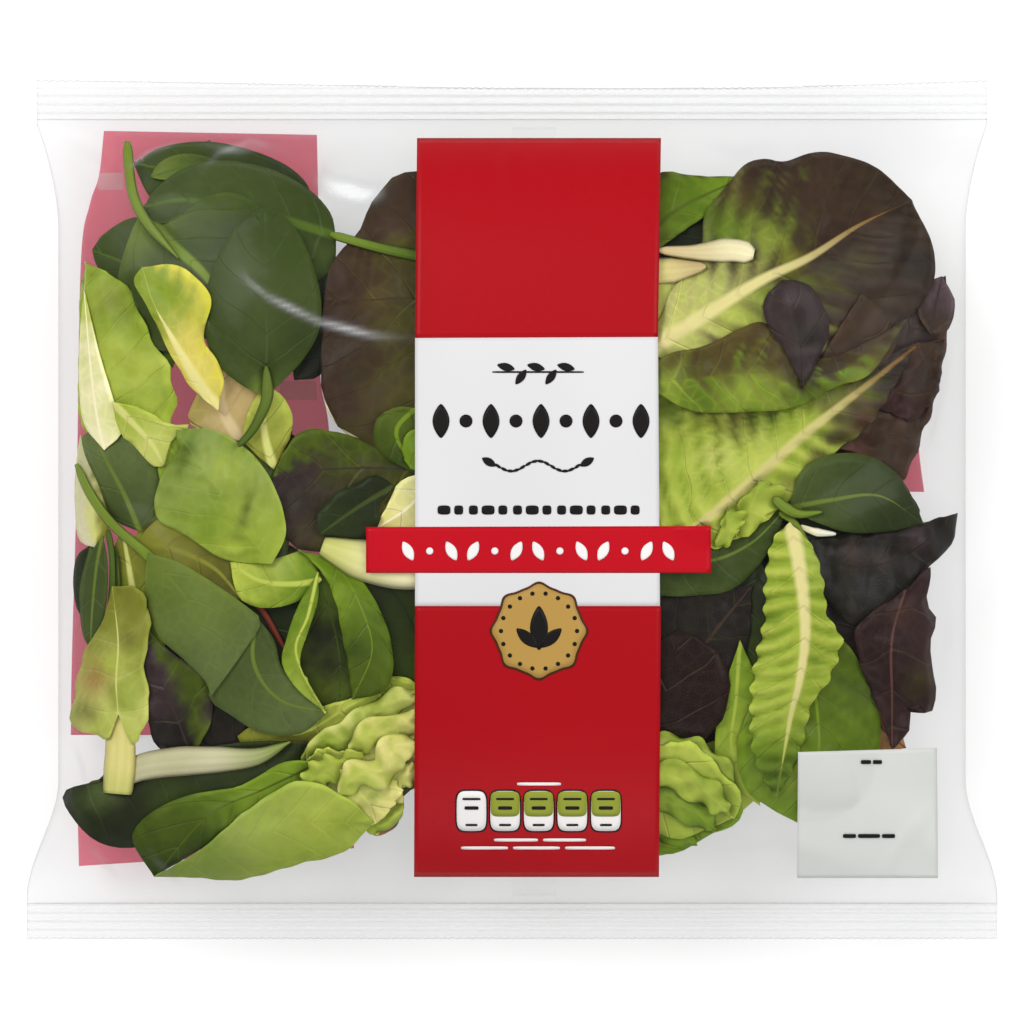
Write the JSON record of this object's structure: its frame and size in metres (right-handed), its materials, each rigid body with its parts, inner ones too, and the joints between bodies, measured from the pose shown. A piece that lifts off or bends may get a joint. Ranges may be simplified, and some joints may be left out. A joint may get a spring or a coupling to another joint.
{
  "type": "bag of salad leaves",
  "caption": "Sealed pillow bag of clear film, filled with mixed salad leaves, lying on its back with toothed crimp seals at both ends and plain printed fields on its front.",
  "frame": {"origin": "on the surface that the bag lies on, under the middle of its bounding box", "axes": "+Z out of the bag's printed front, +X towards the right of the front, +Y towards the top seal"},
  "size_m": [0.262, 0.232, 0.0562],
  "materials": {
    "film": "clear glossy film over green and dark red leaves"
  },
  "bodies": {
    "root": {"salad_bag": "film"}
  },
  "joints": []
}
